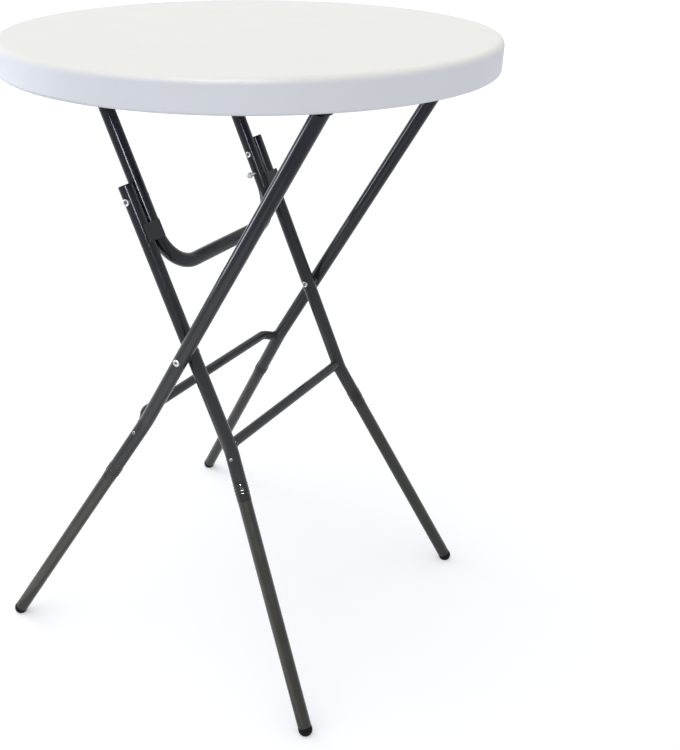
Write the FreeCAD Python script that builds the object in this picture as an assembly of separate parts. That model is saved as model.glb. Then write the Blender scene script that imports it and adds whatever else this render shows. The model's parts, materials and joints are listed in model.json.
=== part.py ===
import FreeCAD
import Part
import math
import os

V = FreeCAD.Vector
os.makedirs("parts", exist_ok=True)

# Folding bar table, millimetres, Z up, floor at z = 0, origin under the middle of the top.
# Every hinge axis runs along Y. Frame A is the outer leg frame, frame B the inner one,
# and the U link is the bent tube that props the top on frame B.

# Table top: one hollow blow-moulded disc
TABLE_H = 1100.0
TOP_D = 800.0
RIM_H = 48.0
RIM_W = 20.0
RIM_DRAFT = 4.0
SLAB_T = 24.0
SKIN = 3.5
EDGE_R = 10.0
LIP_R = 4.0
KISS_PITCH = 118.0
KISS_D = 28.0
KISS_TIP_D = 10.0
KISS_MARGIN = 12.0

# Leg frames: where they cross, where they hinge on the top and how they splay
PIVOT_X = 13.0
PIVOT_DROP = 491.0
HINGE_DROP = 24.0
HINGE_RIM_GAP = 14.1
HINGE_U_IN = 205.8
A_Y = 225.0
GAP_AB = 7.0
GAP_BU = 2.0
A_BEND = 160.6
A_SPLAY = 11.1
B_BEND = 182.7
B_SPLAY = 12.2
B_KICK = 1.86
SPLAY_R = 60.0

# Tubes
LEG_D = 25.0
LEG_WALL = 1.2
LOWER_STEP = 1.0
LOWER_WALL = 1.2
BAR_D = 18.0
BAR_WALL = 1.2
COPE_LAND = 4.0

# Crossbars and the U link
A_BAR_DROP = 173.8
A_BAR_OFFSET = 22.0
A_BAR_CRANK = 29.0
A_BAR_R = 25.0
B_BAR_DROP = 172.5
B_END = 25.0
U_BAR_DROP = 129.1
U_BEND_R = 70.0
HINGE_BAR_OVER = 7.0

# Leg joints: swaged neck, ribbed collar, blind rivet
A_STUB = 111.0
B_STUB = 52.0
COLLAR_L = 36.0
COLLAR_RIBS = 4
RIB_PITCH = 5.0
RIB_W = 2.4
RIB_H = 0.8
RIB_START = 6.5
A_RIVET = 29.0
B_RIVET = 13.0
RIVET_TURN = 20.0
NECK_OVER = 6.0
RIVET_D = 4.0
RIVET_HEAD_D = 7.0
RIVET_HEAD_H = 1.8
RIVET_TAIL = 3.0
RIVET_EYE_D = 2.2

# Feet and tube end plugs
FOOT_OVER = 0.4
FOOT_CAP_L = 15.0
FOOT_FLAT_R = 8.5
FOOT_STEM = 24.0
FOOT_FINS = 3
FOOT_FIN_W = 4.0
FOOT_FIN_H = 0.8
PLUG_LIP = 2.0
PLUG_STEM = 14.0
PLUG_ROUND = 1.2

# Hinge blocks under the top, and their screws
BLOCK_W = 36.0
BLOCK_HALF_L = 38.0
BLOCK_WALL = 4.0
FLANGE_T = 6.0
FLANGE_R = 3.0
A_BLOCK_Y = 140.0
U_BLOCK_Y = 100.0
SCREW_D = 4.5
SCREW_HEAD_D = 9.0
SCREW_HEAD_H = 3.2
SCREW_HEAD_R = 2.0
CROSS_L = 5.0
CROSS_W = 1.2
CROSS_DEPTH = 1.8
SCREW_BITE = 15.0
SCREW_INSET = 9.0
BOSS_WALL = 4.0

# Pivot and knee rivets, stop plates and lock pin
PIN_D = 8.0
HEAD_D = 12.5
HEAD_H = 2.4
TAIL_D = 11.5
TAIL_H = 2.0
EYE_D = 5.0
EYE_FLOOR = 0.8
WASHER_D = 17.0
PLATE_T = 3.0
PLATE_H = 30.0
PLATE_DROP = 42.0
PLATE_R = 2.0
PLATE_PAST_U = 3.0
PLATE_PAST_B = 10.0
LOCK_DROP = 36.6
LOCK_D = 6.0
LOCK_TRAVEL = 6.0
LOCK_GRIP_D = 11.0
LOCK_GRIP_L = 6.0
LOCK_GRIP_R = 1.5
LOCK_NECK_SPARE = 9.5
LOCK_CHAMFER = 1.0
LOCK_COLLAR_D = 11.0
LOCK_COLLAR_T = 1.6
SPRING_WIRE = 1.0
SPRING_TURNS = 4

# Fits
FIT = 0.1
RUN = 0.3
HOLE_FIT = 0.2

# Places that follow from the sizes above
TOP_R = TOP_D / 2
UNDER_Z = TABLE_H - SLAB_T
RIM_Z = TABLE_H - RIM_H
HINGE_Z = UNDER_Z - HINGE_DROP
LEG_R = LEG_D / 2
LOWER_R = (LEG_D - LOWER_STEP) / 2
BAR_R = BAR_D / 2
NECK_R = LEG_R - LEG_WALL - FIT
B_Y = A_Y - LEG_D - GAP_AB
U_Y = B_Y - LEG_D - GAP_BU
SIDES = {"left": -1, "right": 1}
ROUND = 1 - math.sin(math.pi / 4)  # how far in from its corner the middle of a unit round lies
Y_AXIS = V(0, 1, 0)
Z_AXIS = V(0, 0, 1)

# Hinge bar A lies as far out as the wall of the recess lets its ends go.
RECESS_R = TOP_R - RIM_W - RIM_DRAFT
A_BAR_END = A_Y + HINGE_BAR_OVER + PLUG_LIP
HINGE_A = V(math.sqrt(RECESS_R ** 2 - A_BAR_END ** 2) - LEG_R - HINGE_RIM_GAP, 0, HINGE_Z)
HINGE_U = V(HINGE_U_IN - TOP_R, 0, HINGE_Z)
PIVOT = V(PIVOT_X, 0, TABLE_H - PIVOT_DROP)
A_UP = (HINGE_A - PIVOT).normalize()
A_OUT = V(A_UP.z, 0, -A_UP.x)
B_UP = (HINGE_U - PIVOT).normalize()
B_OUT = V(B_UP.z, 0, -B_UP.x)

# Fold-flat rule: along frame A the link lengths close up on one line, so the knee sits where
# pivot-to-knee plus hinge-to-hinge equals pivot-to-hinge plus knee-to-hinge.
SPAN_AB = (HINGE_A - PIVOT).Length
SPAN_PROP = (HINGE_U - PIVOT).Length
SPAN_TOP = HINGE_A.x - HINGE_U.x
KNEE_RISE = (SPAN_PROP + SPAN_AB - SPAN_TOP) / 2
KNEE = PIVOT + B_UP * KNEE_RISE
LOCK = KNEE - B_UP * LOCK_DROP


def at_y(point, y):
    return V(point.x, y, point.z)


def cylinder(start, along, radius, length):
    return Part.makeCylinder(radius, length, start, along)


def crosswise(point, radius, y0, y1):
    # a plain cylinder along Y between two y values
    return cylinder(at_y(point, min(y0, y1)), Y_AXIS, radius, abs(y1 - y0))


def turned(profile, start, along):
    # closed (radius, distance) outline turned about the line through start; a step that is a pair of
    # points is an arc through the first of them to the second
    side = along.cross(Y_AXIS)
    if side.Length < 1e-6:
        side = V(1, 0, 0)
    side.normalize()

    def place(point):
        return start + side * point[0] + along * point[1]

    edges = []
    here = place(profile[0])
    for step in profile[1:] + profile[:1]:
        if isinstance(step[0], tuple):
            there = place(step[1])
            edges.append(Part.Arc(here, place(step[0]), there).toShape())
        else:
            there = place(step)
            edges.append(Part.LineSegment(here, there).toShape())
        here = there
    return Part.Face(Part.Wire(edges)).revolve(start, along, 360)


def ring(center, normal, radius, wall):
    outer = Part.Wire(Part.makeCircle(radius, center, normal))
    if wall is None:
        return Part.Face(outer)
    inner = Part.Wire(Part.makeCircle(radius - wall, center, normal))
    return Part.Face(outer).cut(Part.Face(inner))


def bent_bar(points, bend_r, radius, wall=None):
    # straight runs joined by tangent bends; a wall makes it a tube
    runs = []
    start = points[0]
    for i in range(1, len(points)):
        heading = (points[i] - points[i - 1]).normalize()
        end = points[i]
        if i < len(points) - 1:
            leaving = (points[i + 1] - points[i]).normalize()
            turn = heading.getAngle(leaving)
            end = points[i] - heading * (bend_r * math.tan(turn / 2))
        runs.append(ring(start, heading, radius, wall).extrude(end - start))
        if i < len(points) - 1:
            axis = heading.cross(leaving).normalize()
            inward = axis.cross(heading)
            bend = ring(end, heading, radius, wall)
            runs.append(bend.revolve(end + inward * bend_r, axis, math.degrees(turn)))
            start = points[i] + leaving * (bend_r * math.tan(turn / 2))
    shape = runs[0]
    for run in runs[1:]:
        shape = shape.fuse(run)
    return shape.Solids[0]


def save(name, *solids):
    shape = solids[0] if len(solids) == 1 else Part.makeCompound(list(solids))
    shape.exportStep("parts/" + name + ".step")


# Table top. A double skin of polyethylene: the deck rolls over a round edge into a rim that hangs
# below the slab, and tapered kiss-offs pressed up from below weld the lower skin to the deck.
def top_outline(inset):
    deck = TABLE_H - inset
    under = UNDER_Z + inset
    foot = RIM_Z + inset
    out = TOP_R - inset
    inner_foot = TOP_R - RIM_W + inset
    inner_top = inner_foot - RIM_DRAFT
    edge = EDGE_R - inset
    lip = LIP_R - inset
    return turned([
        (0, under),
        (0, deck),
        (out - edge, deck),
        ((out - edge * ROUND, deck - edge * ROUND), (out, deck - edge)),
        (out, foot + lip),
        ((out - lip * ROUND, foot + lip * ROUND), (out - lip, foot)),
        (inner_foot, foot),
        (inner_top, under),
    ], V(0, 0, 0), Z_AXIS)


BLOCK_SPOTS = []
for name, hinge, block_y in (("a", HINGE_A, A_BLOCK_Y), ("u", HINGE_U, U_BLOCK_Y)):
    for side, sign in SIDES.items():
        BLOCK_SPOTS.append((name + "_" + side, at_y(hinge, sign * block_y)))

SCREW_SPOTS = []
for _, spot in BLOCK_SPOTS:
    for sign in (-1, 1):
        SCREW_SPOTS.append(V(spot.x + sign * (BLOCK_HALF_L - SCREW_INSET), spot.y, UNDER_Z))


def clear_of_blocks(x, y):
    reach = KISS_D / 2 + KISS_MARGIN
    for _, spot in BLOCK_SPOTS:
        if abs(x - spot.x) < BLOCK_HALF_L + reach and abs(y - spot.y) < BLOCK_W / 2 + reach:
            return False
    return math.hypot(x, y) < RECESS_R - reach


kiss_rows = int(TOP_R / (KISS_PITCH * math.sqrt(0.75)))
kiss_spots = []
for row in range(-kiss_rows, kiss_rows + 1):
    for column in range(-kiss_rows, kiss_rows + 1):
        x = row * KISS_PITCH * math.sqrt(0.75)
        y = (column + 0.5 * (row % 2)) * KISS_PITCH
        if clear_of_blocks(x, y):
            kiss_spots.append(V(x, y, UNDER_Z))

kiss_h = SLAB_T - SKIN
kiss_cups = []
kiss_walls = []
for spot in kiss_spots:
    kiss_cups.append(Part.makeCone(KISS_D / 2, KISS_TIP_D / 2, kiss_h, spot, Z_AXIS))
    kiss_walls.append(Part.makeCone(KISS_D / 2 + SKIN, KISS_TIP_D / 2 + SKIN, kiss_h, spot, Z_AXIS))
bosses = []
pilots = []
for spot in SCREW_SPOTS:
    bosses.append(cylinder(spot, Z_AXIS, SCREW_D / 2 + BOSS_WALL, SLAB_T - SKIN))
    pilots.append(cylinder(spot, Z_AXIS, SCREW_D / 2 + FIT, SCREW_BITE + FIT))
hollow = top_outline(SKIN).cut(Part.makeCompound(kiss_walls + bosses))
table_top = top_outline(0).cut(hollow).cut(Part.makeCompound(kiss_cups + pilots))
save("table_top", table_top.Solids[0])


# Hinge blocks. Black nylon saddles that wrap each hinge bar; two screws each hold them to the slab.
def hinge_block(spot):
    outer = LEG_R + FIT + BLOCK_WALL
    low = HINGE_DROP - FLANGE_T
    diag = FLANGE_R * ROUND
    y0 = spot.y - BLOCK_W / 2

    def p(x, z):
        return V(spot.x + x, y0, spot.z + z)

    edges = [
        Part.LineSegment(p(-BLOCK_HALF_L, HINGE_DROP), p(BLOCK_HALF_L, HINGE_DROP)),
        Part.LineSegment(p(BLOCK_HALF_L, HINGE_DROP), p(BLOCK_HALF_L, low)),
        Part.LineSegment(p(BLOCK_HALF_L, low), p(outer + FLANGE_R, low)),
        Part.Arc(p(outer + FLANGE_R, low), p(outer + diag, low - diag), p(outer, low - FLANGE_R)),
        Part.LineSegment(p(outer, low - FLANGE_R), p(outer, 0)),
        Part.Arc(p(outer, 0), p(0, -outer), p(-outer, 0)),
        Part.LineSegment(p(-outer, 0), p(-outer, low - FLANGE_R)),
        Part.Arc(p(-outer, low - FLANGE_R), p(-outer - diag, low - diag), p(-outer - FLANGE_R, low)),
        Part.LineSegment(p(-outer - FLANGE_R, low), p(-BLOCK_HALF_L, low)),
        Part.LineSegment(p(-BLOCK_HALF_L, low), p(-BLOCK_HALF_L, HINGE_DROP)),
    ]
    block = Part.Face(Part.Wire([edge.toShape() for edge in edges])).extrude(V(0, BLOCK_W, 0))
    block = block.cut(crosswise(spot, LEG_R + FIT, y0 - 1, y0 + BLOCK_W + 1))
    for sign in (-1, 1):
        hole = p(sign * (BLOCK_HALF_L - SCREW_INSET), low - 1) + V(0, BLOCK_W / 2, 0)
        block = block.cut(cylinder(hole, Z_AXIS, SCREW_D / 2 + HOLE_FIT, FLANGE_T + 2))
    return block


for name, spot in BLOCK_SPOTS:
    save("hinge_block_" + name, hinge_block(spot))

# Block screws: pan heads with a cross recess.
screws = []
head_r = SCREW_HEAD_D / 2
head_end = -FLANGE_T - SCREW_HEAD_H
soft = SCREW_HEAD_R * ROUND
for spot in SCREW_SPOTS:
    screw = turned([
        (0, head_end),
        (head_r - SCREW_HEAD_R, head_end),
        ((head_r - soft, head_end + soft), (head_r, head_end + SCREW_HEAD_R)),
        (head_r, -FLANGE_T),
        (SCREW_D / 2, -FLANGE_T),
        (SCREW_D / 2, SCREW_BITE - SCREW_D / 2),
        (0, SCREW_BITE),
    ], spot, Z_AXIS)
    for length, width in ((CROSS_L, CROSS_W), (CROSS_W, CROSS_L)):
        corner = spot + V(-length / 2, -width / 2, head_end - CROSS_DEPTH)
        screw = screw.cut(Part.makeBox(length, width, 2 * CROSS_DEPTH, corner))
    screws.append(screw.Solids[0])
save("block_screws", *screws)


# Hinge bars. Straight tubes that turn in the hinge blocks, with a plug pressed into each end.
def hinge_bar(hinge, half_l):
    bar = crosswise(hinge, LEG_R, -half_l, half_l)
    return bar.cut(crosswise(hinge, LEG_R - LEG_WALL, -half_l, half_l))


def end_plug(end, outward):
    stem_r = LEG_R - LEG_WALL - FIT
    return turned([
        (0, -PLUG_STEM),
        (stem_r - PLUG_ROUND, -PLUG_STEM),
        (stem_r, -PLUG_STEM + PLUG_ROUND),
        (stem_r, 0),
        (LEG_R, 0),
        (LEG_R, PLUG_LIP - PLUG_ROUND),
        (LEG_R - PLUG_ROUND, PLUG_LIP),
        (0, PLUG_LIP),
    ], end, outward)


for name, hinge, half_l in (("a", HINGE_A, A_Y + HINGE_BAR_OVER), ("u", HINGE_U, U_Y + HINGE_BAR_OVER)):
    save("hinge_bar_" + name, hinge_bar(hinge, half_l))
    ends = [end_plug(at_y(hinge, sign * half_l), Y_AXIS * sign) for sign in (-1, 1)]
    save("bar_plugs_" + name, *ends)


# Leg tubes. Each runs straight past the pivot, then splays outwards below its crossbar.
def lower_heading(frame, sign):
    if frame == "a":
        down = A_UP * -1
        splay = math.radians(A_SPLAY)
    else:
        kick = math.radians(B_KICK)
        down = B_UP * -math.cos(kick) + B_OUT * math.sin(kick)
        splay = math.radians(B_SPLAY)
    return down * math.cos(splay) + Y_AXIS * (sign * math.sin(splay))


def cope(shape, hinge):
    return shape.cut(crosswise(hinge, LEG_R, -TOP_R, TOP_R)).Solids[0]


FRAMES = {
    "a": (A_Y, A_UP, A_BEND, A_STUB, A_RIVET),
    "b": (B_Y, B_UP, B_BEND, B_STUB, B_RIVET),
}
leg_cores = {}
rivets = {"a": [], "b": []}
for frame, (frame_y, up, bend_drop, stub, rivet_drop) in FRAMES.items():
    for side, sign in SIDES.items():
        y = sign * frame_y
        top_end = HINGE_A - A_UP * COPE_LAND if frame == "a" else KNEE + B_UP * B_END
        bend = at_y(PIVOT - up * bend_drop, y)
        heading = lower_heading(frame, sign)
        stub_end = bend + heading * stub
        path = [at_y(top_end, y), bend, stub_end]
        leg_cores[frame, side] = bent_bar(path, SPLAY_R, LEG_R)
        leg = bent_bar(path, SPLAY_R, LEG_R, LEG_WALL)
        leg = leg.cut(crosswise(PIVOT, PIN_D / 2 + FIT, y - LEG_D, y + LEG_D))
        if frame == "a":
            leg = cope(leg, HINGE_A)
        else:
            leg = leg.cut(crosswise(KNEE, PIN_D / 2 + FIT, y - LEG_D, y + LEG_D))
            if side == "right":
                leg = leg.cut(crosswise(LOCK, LOCK_D / 2 + FIT, y - LEG_D, y))

        # blind rivet through the stub and the neck of the lower leg, on the outer side and turned
        # a little towards the foot
        turn = math.radians(RIVET_TURN)
        face_out = Y_AXIS * (sign * math.cos(turn)) + V(math.copysign(math.sin(turn), heading.x), 0, 0)
        face_out = (face_out - heading * heading.dot(face_out)).normalize()
        rivet_at = bend + heading * rivet_drop
        rivet_hole = cylinder(rivet_at, face_out, RIVET_D / 2 + FIT, LEG_D)
        leg = leg.cut(rivet_hole)
        save("leg_" + frame + "_" + side, leg.Solids[0])
        rivet = turned([
            (0, LEG_R - RIVET_TAIL),
            (RIVET_D / 2, LEG_R - RIVET_TAIL),
            (RIVET_D / 2, LEG_R),
            (RIVET_HEAD_D / 2, LEG_R),
            (RIVET_HEAD_D / 2 * 0.75, LEG_R + RIVET_HEAD_H * 0.75),
            (RIVET_EYE_D / 2, LEG_R + RIVET_HEAD_H),
            (RIVET_EYE_D / 2, LEG_R + RIVET_HEAD_H * 0.4),
            (0, LEG_R + RIVET_HEAD_H * 0.4),
        ], rivet_at, face_out)
        rivets[frame].append(rivet)

        # lower leg: tube with a swaged neck that passes the collar and plugs into the stub
        neck_top = rivet_drop - NECK_OVER
        shoulder = stub + COLLAR_L
        axis_len = bend.z / -heading.z
        tube_end = axis_len - FOOT_CAP_L
        lower = turned([
            (NECK_R, neck_top),
            (NECK_R, shoulder),
            (LOWER_R, shoulder),
            (LOWER_R, tube_end),
            (LOWER_R - LOWER_WALL, tube_end),
            (LOWER_R - LOWER_WALL, shoulder + LOWER_WALL),
            (NECK_R - LOWER_WALL, shoulder),
            (NECK_R - LOWER_WALL, neck_top),
        ], bend, heading)
        save("lower_leg_" + frame + "_" + side, lower.cut(rivet_hole))

        # ribbed plastic collar between the stub and the shoulder of the lower leg
        outline = [(NECK_R + FIT, stub), (LEG_R, stub)]
        for i in range(COLLAR_RIBS):
            rib = stub + RIB_START + i * RIB_PITCH
            outline.append((LEG_R, rib - RIB_W / 2))
            outline.append(((LEG_R + RIB_H, rib), (LEG_R, rib + RIB_W / 2)))
        outline += [(LEG_R, shoulder), (NECK_R + FIT, shoulder)]
        save("collar_" + frame + "_" + side, turned(outline, bend, heading))

        # foot: rubber cap flush with the tube, domed and cut flat where it stands on the floor; its
        # finned stem is pushed up into the tube
        foot_r = LOWER_R + FOOT_OVER
        stem_r = LOWER_R - LOWER_WALL - FIT
        floor_at = bend + heading * axis_len
        dome_rise = math.sqrt(foot_r ** 2 - FOOT_FLAT_R ** 2)
        dome = floor_at - heading * (dome_rise / -heading.z)
        outline = [(0, tube_end - FOOT_STEM), (stem_r - FOOT_FIN_H, tube_end - FOOT_STEM)]
        for i in range(FOOT_FINS):
            fin = tube_end - FOOT_STEM + (i + 0.5) * FOOT_STEM / FOOT_FINS
            outline.append((stem_r - FOOT_FIN_H, fin - FOOT_FIN_W / 2))
            outline.append((stem_r, fin - FOOT_FIN_W / 4))
            outline.append((stem_r, fin + FOOT_FIN_W / 2))
            outline.append((stem_r - FOOT_FIN_H, fin + FOOT_FIN_W / 2))
        dome_at = (dome - bend).dot(heading)
        outline += [
            (stem_r - FOOT_FIN_H, tube_end),
            (foot_r - PLUG_ROUND, tube_end),
            (foot_r, tube_end + PLUG_ROUND),
            (foot_r, dome_at),
            (0, dome_at),
        ]
        half_ball = Part.makeSphere(foot_r, dome, heading, 0, 90, 360)
        cap = turned(outline, bend, heading).fuse(half_ball).removeSplitter()
        below = Part.makeBox(TOP_D, TOP_D, TOP_D, V(floor_at.x - TOP_R, floor_at.y - TOP_R, -TOP_D))
        save("foot_" + frame + "_" + side, cap.cut(below).Solids[0])

save("leg_rivets_a", *rivets["a"])
save("leg_rivets_b", *rivets["b"])
for side, sign in SIDES.items():
    save("plug_b_" + side, end_plug(at_y(KNEE + B_UP * B_END, sign * B_Y), B_UP))

# Crossbar A is cranked away from the legs so that frame B can close between them.
bar_level = PIVOT - A_UP * A_BAR_DROP
bar_ends = {}
for side, sign in SIDES.items():
    reach = (A_BAR_DROP - A_BEND) * math.tan(math.radians(A_SPLAY))
    bar_ends[side] = at_y(bar_level, sign * (A_Y + reach))
cranked = bar_level - A_OUT * A_BAR_OFFSET
path_a = [
    bar_ends["left"],
    at_y(cranked, A_BAR_CRANK - A_Y),
    at_y(cranked, A_Y - A_BAR_CRANK),
    bar_ends["right"],
]
crossbar_a = bent_bar(path_a, A_BAR_R, BAR_R, BAR_WALL)
crossbar_a = crossbar_a.cut(leg_cores["a", "left"]).cut(leg_cores["a", "right"])
save("crossbar_a", crossbar_a.Solids[0])

# Crossbar B is straight, welded between the inner faces of frame B's legs.
level_b = PIVOT - B_UP * B_BAR_DROP
crossbar_b = bent_bar([at_y(level_b, -B_Y), at_y(level_b, B_Y)], 0, BAR_R, BAR_WALL)
crossbar_b = crossbar_b.cut(leg_cores["b", "left"]).cut(leg_cores["b", "right"])
save("crossbar_b", crossbar_b.Solids[0])

# U link: one tube bent twice. Its arms are welded to hinge bar U and pinned to frame B at the knee.
low_u = KNEE - B_UP * U_BAR_DROP
high_u = HINGE_U - B_UP * COPE_LAND
path_u = [at_y(high_u, -U_Y), at_y(low_u, -U_Y), at_y(low_u, U_Y), at_y(high_u, U_Y)]
u_core = bent_bar(path_u, U_BEND_R, LEG_R)
u_tube = cope(bent_bar(path_u, U_BEND_R, LEG_R, LEG_WALL), HINGE_U)
for sign in (-1, 1):
    u_tube = u_tube.cut(crosswise(KNEE, PIN_D / 2 + FIT, sign * (U_Y - LEG_D), sign * (U_Y + LEG_D)))
u_tube = u_tube.cut(crosswise(LOCK, LOCK_D / 2 + FIT, U_Y - LEG_D, U_Y + LEG_D))
save("u_link", u_tube.Solids[0])

# Stop plates, welded along the arms of the U link, lap over frame B's tubes: they stop the legs
# from spreading and leave the knee free to fold the other way.
for side, sign in SIDES.items():
    plate_top = KNEE - B_UP * PLATE_DROP + B_OUT * LEG_R
    corners = []
    for y in (sign * (U_Y - PLATE_PAST_U), sign * (B_Y + PLATE_PAST_B)):
        corners.append(at_y(plate_top, y))
    edge = B_UP * -PLATE_H
    outline = [corners[0], corners[1], corners[1] + edge, corners[0] + edge]
    plate = Part.Face(Part.makePolygon(outline + outline[:1])).extrude(B_OUT * PLATE_T)
    rounded = [e for e in plate.Edges if abs(e.Length - PLATE_T) < 1e-6]
    plate = plate.makeFillet(PLATE_R, rounded).cut(u_core)
    seat = at_y(PIVOT, sign * B_Y)
    plate = plate.cut(cylinder(seat, B_UP, LEG_R + RUN, KNEE_RISE))
    save("stop_plate_" + side, plate.Solids[0])


# Pivot rivets: a steel pin with a ring rolled over at each end, round on its edge and dished in the
# middle. Rings that stay still on their tube are drawn down onto it.
def rolled_ring(center, y, facing, diameter, height):
    rim = diameter / 2
    eye = EYE_D / 2
    return turned([
        (0, 0),
        (rim, 0),
        (((rim + eye) / 2, height), (eye, EYE_FLOOR)),
        (0, EYE_FLOOR),
    ], at_y(center, y), Y_AXIS * facing)


def skirt(center, tube_y, up, y, diameter):
    # fills the gap between a ring on the plane at y and the round tube under it
    tube = cylinder(at_y(center, tube_y) - up * LEG_D, up, LEG_R, 2 * LEG_D)
    return crosswise(center, diameter / 2, tube_y, y).cut(tube)


def riveted(*pieces):
    shape = pieces[0]
    for piece in pieces[1:]:
        shape = shape.fuse(piece)
    return shape.removeSplitter().Solids[0]


def washer(center, sign, y0, y1):
    ring_body = crosswise(center, WASHER_D / 2, sign * y0, sign * y1)
    return ring_body.cut(crosswise(center, PIN_D / 2 + FIT, sign * y0, sign * y1))


pivot_rivets = []
pivot_spacers = []
knee_rivets = []
knee_washers = []
knee_rivet_tails = []
for sign in SIDES.values():
    head_y = sign * (A_Y + LEG_R)
    tail_y = sign * (B_Y - LEG_R - RUN)
    pivot_rivets.append(riveted(
        crosswise(PIVOT, PIN_D / 2, head_y, tail_y),
        rolled_ring(PIVOT, head_y, sign, HEAD_D, HEAD_H),
        skirt(PIVOT, sign * A_Y, A_UP, head_y, HEAD_D),
        rolled_ring(PIVOT, tail_y, -sign, TAIL_D, TAIL_H),
    ))
    pivot_spacers.append(washer(PIVOT, sign, B_Y + LEG_R + RUN, A_Y - LEG_R))

    # knee: frame B keeps the headed half of the rivet and the U link its tail, parted in the gap
    # between the tubes
    part_y = B_Y - LEG_R - GAP_BU + RUN
    head_y = sign * (B_Y + LEG_R)
    tail_y = sign * (U_Y - LEG_R)
    knee_rivets.append(riveted(
        crosswise(KNEE, PIN_D / 2, head_y, sign * part_y),
        rolled_ring(KNEE, head_y, sign, HEAD_D, HEAD_H),
        skirt(KNEE, sign * B_Y, B_UP, head_y, HEAD_D),
    ))
    knee_washers.append(washer(KNEE, sign, part_y, B_Y - LEG_R))
    knee_rivet_tails.append(riveted(
        crosswise(KNEE, PIN_D / 2, sign * (U_Y + LEG_R), tail_y),
        rolled_ring(KNEE, tail_y, -sign, TAIL_D, TAIL_H),
        skirt(KNEE, sign * U_Y, B_UP, tail_y, TAIL_D),
    ))
save("pivot_rivets", *pivot_rivets)
save("pivot_spacers", *pivot_spacers)
save("knee_rivets", *knee_rivets)
save("knee_washers", *knee_washers)
save("knee_rivet_tails", *knee_rivet_tails)

# Lock pin, shown drawn back as it is pulled to fold the table. Pushed in by its travel, the tip
# enters the hole in frame B's right leg and the collar comes up to the wall of the arm.
bore_r = LEG_R - LEG_WALL
shaft_r = LOCK_D / 2
collar_r = LOCK_COLLAR_D / 2
tip = U_Y + LEG_R + RUN
grip = U_Y - LEG_R - LOCK_TRAVEL - LOCK_NECK_SPARE
collar_front = U_Y + math.sqrt(bore_r ** 2 - collar_r ** 2) - LOCK_TRAVEL - RUN
collar_back = collar_front - LOCK_COLLAR_T
grip_r = LOCK_GRIP_D / 2
grip_end = grip - LOCK_GRIP_L
soft = LOCK_GRIP_R * ROUND
lock_pin = turned([
    (0, grip_end),
    (grip_r - LOCK_GRIP_R, grip_end),
    ((grip_r - soft, grip_end + soft), (grip_r, grip_end + LOCK_GRIP_R)),
    (grip_r, grip - LOCK_GRIP_R),
    ((grip_r - soft, grip - soft), (grip_r - LOCK_GRIP_R, grip)),
    (shaft_r, grip),
    (shaft_r, collar_back),
    (collar_r, collar_back),
    (collar_r, collar_front),
    (shaft_r, collar_front),
    (shaft_r, tip - LOCK_CHAMFER),
    (shaft_r - LOCK_CHAMFER, tip),
    (0, tip),
], at_y(LOCK, 0), Y_AXIS)
save("lock_pin", lock_pin)


# Lock spring: a short coil round the pin inside the arm, squeezed between the tube wall and the
# pin's collar. Each quarter turn is a pair of tangent arcs.
def arc_from(start, tangent, end):
    chord = end - start
    along = V(chord).normalize()
    half = tangent.getAngle(along)
    bulge = (tangent - along * tangent.dot(along)).normalize()
    middle = start + chord * 0.5 + bulge * (chord.Length / 2 * math.tan(half / 2))
    return Part.Arc(start, middle, end).toShape()


coil_r = shaft_r + HOLE_FIT + SPRING_WIRE
coil_y0 = U_Y - math.sqrt(bore_r ** 2 - (coil_r + SPRING_WIRE / 2) ** 2) + FIT + SPRING_WIRE / 2
coil_y1 = collar_back - FIT - SPRING_WIRE / 2
coil_pitch = (coil_y1 - coil_y0) / SPRING_TURNS
climb = coil_pitch / (2 * math.pi)
coil_points = []
headings = []
for i in range(4 * SPRING_TURNS + 1):
    turn = math.radians(90 * i)
    c = coil_r * math.cos(turn)
    s = coil_r * math.sin(turn)
    coil_points.append(V(LOCK.x + c, coil_y0 + climb * turn, LOCK.z - s))
    headings.append(V(-s, climb, -c).normalize())
coil_arcs = []
for i in range(4 * SPRING_TURNS):
    start = coil_points[i]
    end = coil_points[i + 1]
    chord = end - start
    spread = 2 * (1 - headings[i].dot(headings[i + 1]))
    lean = chord.dot(headings[i] + headings[i + 1])
    reach = (math.sqrt(lean ** 2 + spread * chord.dot(chord)) - lean) / spread
    near = start + headings[i] * reach
    far = end - headings[i + 1] * reach
    middle = (near + far) * 0.5
    coil_arcs.append(arc_from(start, headings[i], middle))
    coil_arcs.append(arc_from(middle, (far - near).normalize(), end))
section = Part.Wire(Part.makeCircle(SPRING_WIRE / 2, coil_points[0], headings[0]))
save("lock_spring", Part.Wire(coil_arcs).makePipeShell([section], True, False))
print("lock spring, least gap between turns", round(coil_pitch - SPRING_WIRE, 2), "mm")
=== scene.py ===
import json
import math

import bmesh
import bpy
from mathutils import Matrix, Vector
from mathutils.bvhtree import BVHTree


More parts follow.
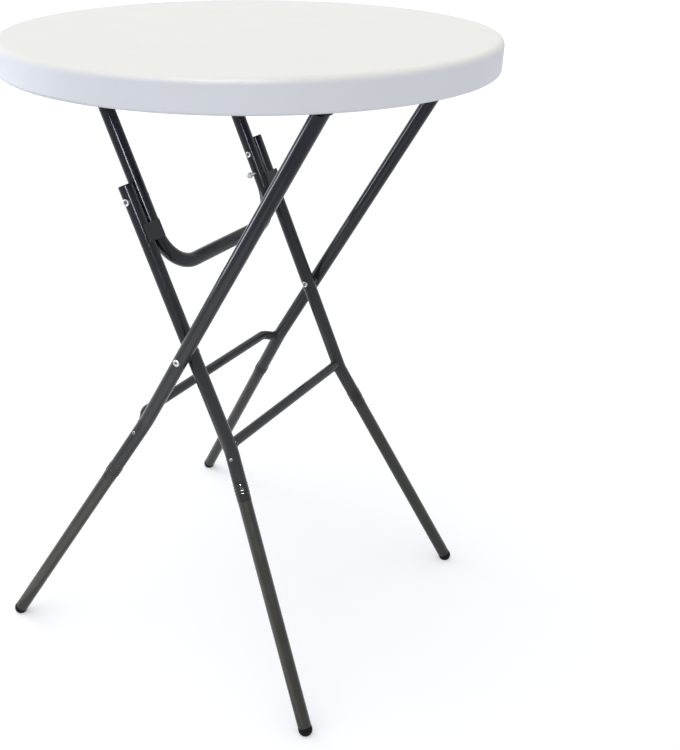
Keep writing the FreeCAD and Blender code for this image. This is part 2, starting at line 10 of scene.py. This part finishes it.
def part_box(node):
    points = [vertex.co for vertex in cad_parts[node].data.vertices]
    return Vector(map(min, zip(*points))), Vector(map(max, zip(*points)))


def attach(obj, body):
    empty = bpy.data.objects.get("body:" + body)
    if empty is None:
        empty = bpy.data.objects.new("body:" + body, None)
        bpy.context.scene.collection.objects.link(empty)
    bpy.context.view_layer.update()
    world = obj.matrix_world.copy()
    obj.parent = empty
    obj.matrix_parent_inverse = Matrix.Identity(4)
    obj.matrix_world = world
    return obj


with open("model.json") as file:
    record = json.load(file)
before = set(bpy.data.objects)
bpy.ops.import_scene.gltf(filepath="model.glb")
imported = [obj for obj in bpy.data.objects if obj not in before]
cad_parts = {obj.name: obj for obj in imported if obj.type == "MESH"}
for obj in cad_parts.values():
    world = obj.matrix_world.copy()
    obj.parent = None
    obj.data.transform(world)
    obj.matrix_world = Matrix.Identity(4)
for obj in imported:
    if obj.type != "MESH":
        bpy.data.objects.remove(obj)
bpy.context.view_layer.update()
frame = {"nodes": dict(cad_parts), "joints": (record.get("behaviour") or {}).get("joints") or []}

nodes = frame["nodes"]


# Round top: one hollow disc of blow-moulded polyethylene, warm white. The deck has a fine mould grain
# and the rim is smoother; the rim's white is painted cooler for the cool light on its side, and painted
# shade greys its lower lip. The slow clouds in the colour come from the thickness of the skin.
def join(tree, node, inputs):
    # sets the inputs of a shader node to values, or joins them to other sockets
    for key, value in inputs.items():
        if isinstance(value, bpy.types.NodeSocket):
            tree.links.new(value, node.inputs[key])
        else:
            node.inputs[key].default_value = value
    return node


def shade(tree, kind, inputs, **settings):
    # one new shader node
    node = tree.nodes.new("ShaderNode" + kind)
    for key, value in settings.items():
        setattr(node, key, value)
    return join(tree, node, inputs)


def reckon(tree, operation, first, second, **settings):
    # one step of arithmetic
    return shade(tree, "Math", {0: first, 1: second}, operation=operation, **settings).outputs[0]


def span(tree, value, ends, results):
    # a smooth step from the first result to the second, as the value goes from end to end
    stops = {"From Min": ends[0], "From Max": ends[1], "To Min": results[0], "To Max": results[1]}
    step = shade(tree, "MapRange", {"Value": value, **stops}, interpolation_type="SMOOTHSTEP")
    return step.outputs["Result"]


# the sockets of a Mix node that carry colours
MIX_FIRST = 6
MIX_SECOND = 7
MIX_RESULT = 2


def blend(tree, share, first, second):
    # a colour between two others, which are plain or come from a node
    ends = [c if isinstance(c, bpy.types.NodeSocket) else c + (1.0,) for c in (first, second)]
    inputs = {"Factor": share, MIX_FIRST: ends[0], MIX_SECOND: ends[1]}
    return shade(tree, "Mix", inputs, data_type="RGBA").outputs[MIX_RESULT]


def bumped(tree, height, strength, depth):
    # the normal of a surface with a fine relief
    bump = shade(tree, "Bump", {"Strength": strength, "Distance": depth, "Height": height})
    return bump.outputs["Normal"]


def effect(name, inputs, outputs):
    # an empty node group with named sockets
    group = bpy.data.node_groups.new(name, "ShaderNodeTree")
    for label, kind in inputs.items():
        group.interface.new_socket(label, in_out="INPUT", socket_type="NodeSocket" + kind)
    for label in outputs:
        group.interface.new_socket(label, in_out="OUTPUT", socket_type="NodeSocketFloat")
    taken = group.nodes.new("NodeGroupInput").outputs
    given = group.nodes.new("NodeGroupOutput")
    return group, taken, given


def use(tree, group, inputs):
    # a node group placed in a material
    return shade(tree, "Group", inputs, node_tree=group).outputs


def new_finish(name, fixed):
    # a material with its plain values set; also gives its tree, its surface and places on the part
    finish = bpy.data.materials.new(name)
    finish.use_nodes = True
    tree = finish.node_tree
    surface = join(tree, tree.nodes["Principled BSDF"], fixed)
    place = shade(tree, "TexCoord", {}).outputs["Object"]
    return finish, tree, surface, place


def dress(finish, *names):
    # pieces of the part in one finish
    for name in names:
        slots = nodes[name].data.materials
        slots.clear()
        slots.append(finish)


# mould grain: a fine pebble and a slow cloud, whose values lie between about 0.3 and 0.7
GRAIN_OCTAVES = 3.0
ALL_CLOUD = (0.3, 0.7)
MID_CLOUD = (0.35, 0.65)
HIGH_CLOUD = (0.35, 0.7)
sizes = {"Place": "Vector", "Pebble": "Float", "Cloud": "Float"}
grain, taken, given = effect("mould_grain", sizes, ["Height", "Cloud"])
for size, result in (("Pebble", "Height"), ("Cloud", "Cloud")):
    per_metre = reckon(grain, "DIVIDE", 1.0, taken[size])
    look = {"Vector": taken["Place"], "Scale": per_metre, "Detail": GRAIN_OCTAVES}
    join(grain, given, {result: shade(grain, "TexNoise", look).outputs["Fac"]})

DECK_WHITE = (0.82, 0.81, 0.76)
# painted light: the rim takes a cooler white than the deck, for the cool light on its side
RIM_COOL_LIT_WHITE = (0.77, 0.79, 0.82)
THICK_WHITE = (0.70, 0.69, 0.64)
THICK_SHARE = 0.03
# painted shade: a grey band along the lower lip of the rim
LIP_SHADE_GREY = (0.40, 0.39, 0.37)
LIP_SHADE_SHARE = 0.8
LIP_H = 0.0022
EDGE_ROUND = 0.010
DECK_SKIN = 0.0005
TOP_PEBBLE = 0.0011
TOP_CLOUD = 0.09
TOP_ROUGH = (0.50, 0.60)
TOP_GRAIN = 0.25
RIM_GRAIN = 0.35
TOP_RELIEF = 0.00025
rim_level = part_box("table_top")[0].z
deck_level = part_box("table_top")[1].z
fixed = {"IOR": 1.48, "Specular IOR Level": 0.26}
white_plastic, tree, surface, place = new_finish("white_plastic", fixed)
pebble = use(tree, grain, {"Place": place, "Pebble": TOP_PEBBLE, "Cloud": TOP_CLOUD})
height = shade(tree, "SeparateXYZ", {"Vector": place}).outputs["Z"]
on_deck = span(tree, height, (deck_level - EDGE_ROUND, deck_level - DECK_SKIN), (0.0, 1.0))
# painted light: the rim's cooler white gives way to the deck's warm white at the edge
skin = blend(tree, on_deck, RIM_COOL_LIT_WHITE, DECK_WHITE)
thick = span(tree, pebble["Cloud"], MID_CLOUD, (0.0, THICK_SHARE))
skin = blend(tree, thick, skin, THICK_WHITE)
# painted shade on the lower lip of the rim
lip_shade = span(tree, height, (rim_level, rim_level + LIP_H), (LIP_SHADE_SHARE, 0.0))
skin = blend(tree, lip_shade, skin, LIP_SHADE_GREY)
rough = span(tree, pebble["Cloud"], ALL_CLOUD, TOP_ROUGH)
grained = span(tree, on_deck, (0.0, 1.0), (RIM_GRAIN, 1.0))
relief = reckon(tree, "MULTIPLY", pebble["Height"], grained)
normal = bumped(tree, relief, TOP_GRAIN, TOP_RELIEF)
join(tree, surface, {"Base Color": skin, "Roughness": rough, "Normal": normal})
dress(white_plastic, "table_top")


# Hinge blocks: black nylon saddles moulded with a matt spark finish, screwed up into the top. The
# spacers and washers between the frames are cut from the same nylon.
MOULD_CLOUD = 0.02
MOULD_PALE = 0.6
MOULD_SMOOTHER = 0.05
MOULD_ROUGHER = 0.07
MOULD_RELIEF = 0.0002


def paler(colour, times, lift):
    return tuple(c * times + lift for c in colour)


def moulded(name, colour, gloss, rough, pebble_size, strength):
    # dark plastic or rubber with paler clouds and a pebbled skin
    finish, tree, surface, place = new_finish(name, {"IOR": 1.5, "Specular IOR Level": gloss})
    pebble = use(tree, grain, {"Place": place, "Pebble": pebble_size, "Cloud": MOULD_CLOUD})
    shades = span(tree, pebble["Cloud"], HIGH_CLOUD, (0.0, MOULD_PALE))
    body = blend(tree, shades, colour, paler(colour, times=1.6, lift=0.006))
    smooth = span(tree, pebble["Cloud"], ALL_CLOUD, (rough - MOULD_SMOOTHER, rough + MOULD_ROUGHER))
    normal = bumped(tree, pebble["Height"], strength, MOULD_RELIEF)
    join(tree, surface, {"Base Color": body, "Roughness": smooth, "Normal": normal})
    return finish


SIDES = {"left": -1, "right": 1}
NYLON_BLACK = (0.022, 0.022, 0.024)
black_nylon = moulded(
    "black_nylon", NYLON_BLACK, gloss=0.4, rough=0.55, pebble_size=0.0008, strength=0.35
)
for side in SIDES:
    dress(black_nylon, "hinge_block_a_" + side, "hinge_block_u_" + side)
dress(black_nylon, "pivot_spacers", "knee_washers")


# Upper frames: steel tube in dark charcoal powder coat with a slight orange peel, rubbed in places, with
# painted floor light that grows paler and warmer downwards and a painted cool cast for the room light.
# Hinge bars, leg tubes, crossbars, the U link and the stop plates are welded up first and coated
# together.
RUB_OCTAVES = 6.0
RUB_RAGGED = 0.7
RUB_LIMIT = 0.78
RUB_STEEP = 9.0
sizes = {"Place": "Vector", "Length": "Float", "Share": "Float"}
rub, taken, given = effect("rub_marks", sizes, ["Mask"])
per_metre = reckon(rub, "DIVIDE", 1.0, taken["Length"])
look = {"Vector": taken["Place"], "Scale": per_metre, "Detail": RUB_OCTAVES, "Roughness": RUB_RAGGED}
ragged = shade(rub, "TexNoise", look).outputs["Fac"]
over = reckon(rub, "SUBTRACT", ragged, reckon(rub, "SUBTRACT", RUB_LIMIT, taken["Share"]))
join(rub, given, {"Mask": reckon(rub, "MULTIPLY", over, RUB_STEEP, use_clamp=True)})

# painted light from the floor: full share up to the full light level, none above the shaded level
FULL_LIGHT_LEVEL = 0.40
SHADED_LEVEL = 1.02
painted_floor_light, taken, given = effect("painted_floor_light", {"Place": "Vector", "Share": "Float"}, ["Mask"])
height = shade(painted_floor_light, "SeparateXYZ", {"Vector": taken["Place"]}).outputs["Z"]
floor_lit_share = span(painted_floor_light, height, (FULL_LIGHT_LEVEL, SHADED_LEVEL), (taken["Share"], 0.0))
join(painted_floor_light, given, {"Mask": floor_lit_share})

RUB_L = 0.014
RUB_SHARE = 0.10
RUBBED_GREY = (0.11, 0.11, 0.105)
RUBBED_STRENGTH = 0.25
RUBBED_DULL = 0.2
# painted light: the paler, warmer grey that the floor's light lays on the lower tubes
FLOOR_LIGHT_GREY = (0.20, 0.20, 0.15)
COAT_PEEL = 0.0022
COAT_CLOUD = 0.05
COAT_PALE = 0.5
COAT_ROUGHER = 0.06
COAT_GRAIN = 0.015
COAT_RELIEF = 0.0002


def coated(name, colour, tint, gloss, rough, floor_light):
    # powder coat, rubbed, with painted light from the floor that fades out towards the top
    fixed = {"IOR": 1.45, "Specular IOR Level": gloss, "Specular Tint": tint + (1.0,)}
    finish, tree, surface, place = new_finish(name, fixed)
    peel = use(tree, grain, {"Place": place, "Pebble": COAT_PEEL, "Cloud": COAT_CLOUD})
    shades = span(tree, peel["Cloud"], HIGH_CLOUD, (0.0, COAT_PALE))
    body = blend(tree, shades, colour, paler(colour, times=1.5, lift=0.004))
    marks = use(tree, rub, {"Place": place, "Length": RUB_L, "Share": RUB_SHARE})
    rubbed = reckon(tree, "MULTIPLY", marks["Mask"], RUBBED_STRENGTH)
    body = blend(tree, rubbed, body, RUBBED_GREY)
    # painted light from the floor, low down; where it fades near the top it stands for the top's shade
    floor_lit = use(tree, painted_floor_light, {"Place": place, "Share": floor_light})
    body = blend(tree, floor_lit["Mask"], body, FLOOR_LIGHT_GREY)
    smooth = span(tree, peel["Cloud"], ALL_CLOUD, (rough, rough + COAT_ROUGHER))
    dulled = reckon(tree, "ADD", reckon(tree, "MULTIPLY", rubbed, RUBBED_DULL), smooth)
    normal = bumped(tree, peel["Height"], COAT_GRAIN, COAT_RELIEF)
    join(tree, surface, {"Base Color": body, "Roughness": dulled, "Normal": normal})
    return finish


# painted light: a blue cast in the charcoal and a cool tint in its reflections, for the cool room light
COOL_LIT_CHARCOAL = (0.0080, 0.0085, 0.0145)
COOL_REFLECTION_TINT = (0.93, 0.96, 1.0)
powder_coat = coated("powder_coat", COOL_LIT_CHARCOAL, COOL_REFLECTION_TINT, gloss=0.30, rough=0.12, floor_light=0.13)
dress(powder_coat, "hinge_bar_a", "hinge_bar_u", "crossbar_a", "crossbar_b", "u_link")
for side in SIDES:
    dress(powder_coat, "leg_a_" + side, "leg_b_" + side, "stop_plate_" + side)


# Weld beads: the rippled fillet that the torch leaves round a tube end that sits on another tube, and
# along the edge of a stop plate. They are laid before the coating, so they carry the same powder coat.
BEAD_R = 0.0018
BEAD_OUT = 0.0003
BEAD_SIDES = 12
BEAD_END = 0.25
BEAD_BLUNT = 6
RIPPLE = 0.0030
RIPPLE_DEPTH = 0.10
STEPS_PER_RIPPLE = 6
LINE_PASSES = 4
LEAN_PASSES = 12
TOUCH = 0.0005
SAME_PLACE_DIGITS = 5
ROUND_OFF = 1e-9


def skin_of(node):
    # the surface of a piece, to find the nearest place on it
    mesh = nodes[node].data
    return BVHTree.FromPolygons([v.co for v in mesh.vertices], [p.vertices for p in mesh.polygons])


def seam(tube, skin, sign):
    # outer edge of a tube's end, on one side of the table, where it sits on the skin of another piece
    mesh = nodes[tube].data
    at = [v.co for v in mesh.vertices]
    on_side = [i for i, point in enumerate(at) if point.y * sign > 0]
    touching = {i for i in on_side if skin.find_nearest(at[i])[3] < TOUCH}
    middle = sum((at[i] for i in touching), Vector()) / len(touching)
    edge = {}
    inward = Vector()
    for face in mesh.polygons:
        ends = touching.intersection(face.vertices)
        if ends and len(ends) < len(face.vertices) and face.normal.dot(face.center - middle) > 0:
            inward += face.center - middle
            edge.update({tuple(round(c, SAME_PLACE_DIGITS) for c in at[i]): at[i] for i in ends})
    inward.normalize()
    across = inward.orthogonal().normalized()
    beside = inward.cross(across)
    middle = sum(edge.values(), Vector()) / len(edge)

    def turn(point):
        return math.atan2((point - middle).dot(beside), (point - middle).dot(across))

    return sorted(edge.values(), key=turn), middle


def evenly(points, closed):
    # the same line with a whole number of ripples and evenly spaced points
    line = points + points[:1] if closed else points
    runs = [(b - a).length for a, b in zip(line, line[1:])]
    count = round(sum(runs) / RIPPLE) * STEPS_PER_RIPPLE
    pitch = sum(runs) / count
    spaced = []
    start = 0.0
    for a, b, run in zip(line, line[1:], runs):
        while len(spaced) * pitch < start + run - ROUND_OFF:
            spaced.append(a.lerp(b, (len(spaced) * pitch - start) / run))
        start += run
    return spaced if closed else spaced + line[-1:]


def softened(values, passes):
    # each value of a closed line drawn towards its two neighbours
    for _ in range(passes):
        before = values[-1:] + values[:-1]
        after = values[1:] + values[:1]
        values = [(a + 2 * v + b) / 4 for a, v, b in zip(before, values, after)]
    return values


def lay_bead(name, line, leans, body, closed):
    # a rippled round bead along a line, leaning out of the corner that it fills
    count = len(line)
    bead = bmesh.new()
    rings = []
    for i, (point, lean) in enumerate(zip(line, leans)):
        ahead = line[(i + 1) % count] if closed else line[min(i + 1, count - 1)]
        behind = line[i - 1] if closed else line[max(i - 1, 0)]
        along = (ahead - behind).normalized()
        out = (lean - along * lean.dot(along)).normalized()
        beside = along.cross(out)
        radius = BEAD_R * (1 + RIPPLE_DEPTH * math.sin(math.tau * i / STEPS_PER_RIPPLE))
        if not closed:
            from_middle = 2 * i / (count - 1) - 1
            radius *= BEAD_END + (1 - BEAD_END) * math.sqrt(1 - from_middle ** BEAD_BLUNT)
        ring = []
        for k in range(BEAD_SIDES):
            turn = math.tau * k / BEAD_SIDES
            spot = point + out * (BEAD_OUT + radius * math.cos(turn)) + beside * radius * math.sin(turn)
            ring.append(bead.verts.new(spot))
        rings.append(ring)
    for first, second in zip(rings, rings[1:] + rings[:1] if closed else rings[1:]):
        for k in range(BEAD_SIDES):
            bead.faces.new((first[k - 1], first[k], second[k], second[k - 1]))
    if not closed:
        bead.faces.new(rings[0])
        bead.faces.new(rings[-1])
    bmesh.ops.recalc_face_normals(bead, faces=bead.faces)
    mesh = bpy.data.meshes.new(name)
    bead.to_mesh(mesh)
    bead.free()
    mesh.shade_smooth()
    mesh.materials.append(powder_coat)
    piece = bpy.data.objects.new(name, mesh)
    bpy.context.scene.collection.objects.link(piece)
    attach(piece, body)


def weld_round(tube, carrier, side, body):
    # a closed bead round the end of a tube
    skin = skin_of(carrier)
    edge, middle = seam(tube, skin, SIDES[side])
    line = softened(evenly(edge, True), LINE_PASSES)
    leans = [skin.find_nearest(point)[1] + (point - middle).normalized() for point in line]
    name = "weld_" + tube.removesuffix("_" + side) + "_" + side
    lay_bead(name, line, softened(leans, LEAN_PASSES), body, True)


pivot_at = {joint["name"]: Vector(joint["pos_m"]) for joint in frame["joints"] if "pos_m" in joint}
link_up = (pivot_at["prop_fold"] - pivot_at["leg_fold"]).normalized()
for side, sign in SIDES.items():
    weld_round("leg_a_" + side, "hinge_bar_a", side, "frame_a")
    weld_round("crossbar_a", "leg_a_" + side, side, "frame_a")
    weld_round("crossbar_b", "leg_b_" + side, side, "frame_b")
    weld_round("u_link", "hinge_bar_u", side, "u_link")

    # stop plate: one straight run along its inner edge, in the corner over the arm of the U link
    corners = [v.co for v in nodes["stop_plate_" + side].data.vertices]
    inner_y = min(abs(c.y) for c in corners)
    plate_face = link_up.cross(Vector((0, 1, 0)))
    plate_middle = sum(corners, Vector()) / len(corners)
    plate_face *= math.copysign(1, (plate_middle - pivot_at["leg_fold"]).dot(plate_face))
    edge = [c for c in corners if abs(c.y) < inner_y + TOUCH]
    under = min(c.dot(plate_face) for c in edge)
    edge = sorted((c for c in edge if c.dot(plate_face) < under + TOUCH), key=lambda c: c.dot(link_up))
    line = evenly([edge[0], edge[-1]], False)
    lean = Vector((0, -sign, 0)) + plate_face
    lay_bead("weld_stop_plate_" + side, line, [lean] * len(line), "u_link", False)


# End plugs and collars: black plastic. The plugs are satin and close the tube ends; the ribbed collars
# are polished and hide the step where a lower leg enters its tube.
PLUG_BLACK = (0.004, 0.004, 0.005)
COLLAR_BLACK = (0.005, 0.005, 0.005)
satin_plastic = moulded(
    "satin_plastic", PLUG_BLACK, gloss=0.2, rough=0.34, pebble_size=0.0009, strength=0.2
)
polished_plastic = moulded(
    "polished_plastic", COLLAR_BLACK, gloss=0.40, rough=0.17, pebble_size=0.0009, strength=0.1
)
dress(satin_plastic, "bar_plugs_a", "bar_plugs_u")
for side in SIDES:
    dress(satin_plastic, "plug_b_" + side)
    dress(polished_plastic, "collar_a_" + side, "collar_b_" + side)


# Lower legs: the same steel tube and coat, a little duller; greener and warmer as painted floor light.
# Each has a swaged neck that is plugged up into a leg tube and riveted there.
# painted light: a greener, warmer colour and reflection tint for the light from the floor
FLOOR_LIT_LEG_GREY = (0.022, 0.022, 0.019)
WARM_REFLECTION_TINT = (1.0, 1.0, 0.96)
lower_coat = coated("lower_coat", FLOOR_LIT_LEG_GREY, WARM_REFLECTION_TINT, gloss=0.42, rough=0.20, floor_light=0.01)
for side in SIDES:
    dress(lower_coat, "lower_leg_a_" + side, "lower_leg_b_" + side)


# Screws and blind rivets: the screws of the hinge blocks are steel in bright zinc plate. The rivets go
# through the leg tubes and the necks of the lower legs, and are in dull zinc.
PLATE_PEBBLE = 0.0006
PLATE_CLOUD = 0.006
PLATE_ROUGHER = 0.16
PLATE_GRAIN = 0.15
PLATE_RELIEF = 0.0001


def plated(name, bright, dull, rough):
    # metal with brighter and duller patches; also gives what a further layer is laid on
    finish, tree, surface, place = new_finish(name, {"Metallic": 1.0})
    patches = use(tree, grain, {"Place": place, "Pebble": PLATE_PEBBLE, "Cloud": PLATE_CLOUD})
    shades = span(tree, patches["Cloud"], MID_CLOUD, (0.0, 1.0))
    plate = blend(tree, shades, bright, dull)
    smooth = span(tree, patches["Cloud"], ALL_CLOUD, (rough, rough + PLATE_ROUGHER))
    normal = bumped(tree, patches["Height"], PLATE_GRAIN, PLATE_RELIEF)
    join(tree, surface, {"Base Color": plate, "Roughness": smooth, "Normal": normal})
    return finish, tree, surface, place, plate


BRIGHT = (0.90, 0.91, 0.92)
LESS_BRIGHT = (0.66, 0.67, 0.69)
DULL = (0.21, 0.21, 0.21)
DULLER = (0.12, 0.12, 0.125)
bright_zinc = plated("bright_zinc", BRIGHT, LESS_BRIGHT, rough=0.20)[0]
dress(bright_zinc, "block_screws")
dull_zinc = plated("dull_zinc", DULL, DULLER, rough=0.24)[0]
dress(dull_zinc, "leg_rivets_a", "leg_rivets_b")


# Lock pin and spring: a turned steel pin in bright zinc, whose head is a darker grey than its bright
# neck. It slides in the arm of the U link, against a spring of drawn wire.
PIN_HEAD_L = 0.0062
HEAD_FADE = 0.0004
PIN_HEAD_GREY = (0.44, 0.44, 0.45)
WIRE_GREY = (0.50, 0.50, 0.49)
WIRE_SHADE = (0.40, 0.39, 0.37)
pin_zinc, tree, surface, place, plate = plated("pin_zinc", BRIGHT, LESS_BRIGHT, rough=0.20)
along_pin = shade(tree, "SeparateXYZ", {"Vector": place}).outputs["Y"]
neck_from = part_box("lock_pin")[0].y + PIN_HEAD_L
# the head takes a darker grey than the neck
on_head = span(tree, along_pin, (neck_from, neck_from + HEAD_FADE), (1.0, 0.0))
join(tree, surface, {"Base Color": blend(tree, on_head, plate, PIN_HEAD_GREY)})
dress(pin_zinc, "lock_pin")
spring_wire = plated("spring_wire", WIRE_GREY, WIRE_SHADE, rough=0.28)[0]
dress(spring_wire, "lock_spring")


# Pivot and knee rivets: steel pins rolled over on both sides of the tubes that they join, bright on
# the rolled ring, with painted shade in the eye and round the foot of the ring.
EYE_R = 0.0029
RING_IN_R = 0.0036
RING_OUT_R = 0.0052
HEAD_R = 0.0064
FOOT_SHADE = 0.8
EYE_SHADE_GREY = (0.14, 0.14, 0.145)
ROLLED_GREY = (0.62, 0.62, 0.61)
ROLLED_SHADE = (0.42, 0.43, 0.44)


def rolled(name, *rivets):
    # rivets on one axis, with painted shade set by the distance from it
    finish, tree, surface, place, plate = plated(name, ROLLED_GREY, ROLLED_SHADE, rough=0.22)
    low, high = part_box(rivets[0])
    axis = (low + high) / 2
    centre = (axis.x, 0, axis.z)
    flat = shade(tree, "VectorMath", {0: place, 1: (1, 0, 1)}, operation="MULTIPLY").outputs[0]
    out = shade(tree, "VectorMath", {0: flat, 1: centre}, operation="DISTANCE").outputs["Value"]
    in_eye = span(tree, out, (EYE_R, RING_IN_R), (1.0, 0.0))
    at_foot = span(tree, out, (RING_OUT_R, HEAD_R), (0.0, FOOT_SHADE))
    # painted shade in the eye and round the foot of the rolled ring
    shade_share = reckon(tree, "MAXIMUM", in_eye, at_foot)
    join(tree, surface, {"Base Color": blend(tree, shade_share, plate, EYE_SHADE_GREY)})
    dress(finish, *rivets)


rolled("pivot_rivet_steel", "pivot_rivets")
rolled("knee_rivet_steel", "knee_rivets", "knee_rivet_tails")


# Feet: caps of soft black rubber, matt with faint paler clouds. Each has a finned stem that is pushed up
# into the end of a lower leg.
RUBBER_BLACK = (0.004, 0.004, 0.004)
foot_rubber = moulded(
    "foot_rubber", RUBBER_BLACK, gloss=0.12, rough=0.68, pebble_size=0.0012, strength=0.4
)
for side in SIDES:
    dress(foot_rubber, "foot_a_" + side, "foot_b_" + side)


# Studio: a pale floor without an edge, a pale surround that is cooler on the left, one wide soft warm
# light from above and a weak fill from the left. Panels that show only in gloss draw the bright lines
# along the tubes and the dots on the ribs of a collar.
FLOOR_HALF = 60.0
FLOOR_GREY = (0.75, 0.75, 0.75)
FLOOR_GLOW = 0.31
FLOOR_ROUGH = 0.9
WHITE = (1.0, 1.0, 1.0)
mesh = bpy.data.meshes.new("studio_floor")
corners = [(x * FLOOR_HALF, y * FLOOR_HALF, 0) for x, y in ((-1, -1), (1, -1), (1, 1), (-1, 1))]
mesh.from_pydata(corners, [], [(0, 1, 2, 3)])
floor = bpy.data.objects.new("studio_floor", mesh)
bpy.context.scene.collection.objects.link(floor)


def seen_directly(tree, strength):
    # a strength for rays from the camera, off gloss and through glass, and none for the lighting
    rays = shade(tree, "LightPath", {}).outputs
    seen = reckon(tree, "ADD", rays["Is Camera Ray"], rays["Is Glossy Ray"])
    seen = reckon(tree, "ADD", seen, rays["Is Transmission Ray"], use_clamp=True)
    return reckon(tree, "MULTIPLY", seen, strength)


paper = bpy.data.materials.new("studio_paper")
paper.use_nodes = True
tree = paper.node_tree
join(tree, tree.nodes["Principled BSDF"], {
    "Base Color": FLOOR_GREY + (1.0,),
    "Roughness": FLOOR_ROUGH,
    "Specular IOR Level": 0.0,
    "Emission Color": WHITE + (1.0,),
    "Emission Strength": seen_directly(tree, FLOOR_GLOW),
})
mesh.materials.append(paper)

SURROUND_LEFT = (0.66, 0.73, 0.88)
SURROUND_RIGHT = (0.62, 0.63, 0.65)
world = bpy.data.worlds.new("studio_surround")
bpy.context.scene.world = world
world.use_nodes = True
tree = world.node_tree
heading = shade(tree, "TexCoord", {}).outputs["Generated"]
sideways = shade(tree, "SeparateXYZ", {"Vector": heading}).outputs["X"]
to_right = span(tree, sideways, (-1.0, 1.0), (0.0, 1.0))
surround = blend(tree, to_right, SURROUND_LEFT, SURROUND_RIGHT)
surround = blend(tree, seen_directly(tree, 1.0), surround, WHITE)
join(tree, tree.nodes["Background"], {"Color": surround})


def lamp(name, kind, at, aim, colour, energy, **settings):
    # a light that stands at one place and is aimed at another
    data = bpy.data.lights.new(name, kind)
    data.color = colour
    data.energy = energy
    for key, value in settings.items():
        setattr(data, key, value)
    light = bpy.data.objects.new(name, data)
    light.location = at
    light.rotation_euler = (Vector(aim) - Vector(at)).to_track_quat("-Z", "Y").to_euler()
    bpy.context.scene.collection.objects.link(light)
    return light


def gloss_panel(name, at, aim, colour, width, height, energy, spread):
    # a lit panel that shows only in gloss
    sizes = {"size": width, "size_y": height, "spread": math.radians(spread)}
    light = lamp(name, "AREA", at, aim, colour, energy, shape="RECTANGLE", **sizes)
    light.visible_camera = False
    light.visible_diffuse = False


COOL = (0.88, 0.92, 1.0)
WARM = (1.0, 0.92, 0.80)
PLAIN = (0.96, 0.98, 1.0)
SUN_ANGLE = math.radians(70)
lamp("overhead", "SUN", (-1.0, -1.2, 4.0), (0, 0, 0), colour=WARM, energy=1.24, angle=SUN_ANGLE)
fill = lamp(
    "side_fill", "AREA", (-2.5, 0.25, 1.2), (-0.4, 0.0, 1.05),
    colour=PLAIN, energy=12, shape="SQUARE", size=1.0,
)
fill.visible_camera = False
fill.visible_glossy = False
gloss_panel(
    "strip_front", (1.22, -2.33, 1.86), (-0.215, -0.22, 1.15),
    colour=COOL, width=0.60, height=0.84, energy=0.64, spread=14,
)
gloss_panel(
    "strip_over", (0.55, -1.35, 2.45), (0.121, -0.208, 0.375),
    colour=PLAIN, width=0.34, height=0.34, energy=6.5, spread=9,
)
gloss_panel(
    "strip_left", (-1.85, -0.85, 0.92), (0.05, 0.0, 0.8),
    colour=COOL, width=0.60, height=0.75, energy=16, spread=180,
)
gloss_panel(
    "floor_pool", (-0.05, -0.95, 0.01), (-0.05, -0.95, 1.0),
    colour=WARM, width=1.1, height=1.1, energy=4.0, spread=180,
)


# Camera: fitted to the photograph, in its frame of 680 by 750 pixels. The lens axis meets that frame
# left of its middle, as in a picture that is cut from a wider one.
PHOTO_W = 680
PHOTO_H = 750
FOCAL_PX = 1018.84
AXIS_X_PX = 248.76
AXIS_Y_PX = 393.95
SENSOR_W = 36.0
CLIP_END = 200
CAMERA_AT = (0.9336, -1.4332, 1.3427)
LOOKS_DOWN = 27.73
HEADING = 33.08
camera_data = bpy.data.cameras.new("camera")
camera_data.sensor_width = SENSOR_W
camera_data.lens = FOCAL_PX * SENSOR_W / PHOTO_H
camera_data.shift_x = (PHOTO_W / 2 - AXIS_X_PX) / PHOTO_H
camera_data.shift_y = (AXIS_Y_PX - PHOTO_H / 2) / PHOTO_H
camera_data.clip_end = CLIP_END
camera = bpy.data.objects.new("camera", camera_data)
camera.location = CAMERA_AT
camera.rotation_euler = (math.radians(90 - LOOKS_DOWN), 0, math.radians(HEADING))
bpy.context.scene.collection.objects.link(camera)
bpy.context.scene.camera = camera
bpy.context.scene.view_settings.view_transform = "Standard"
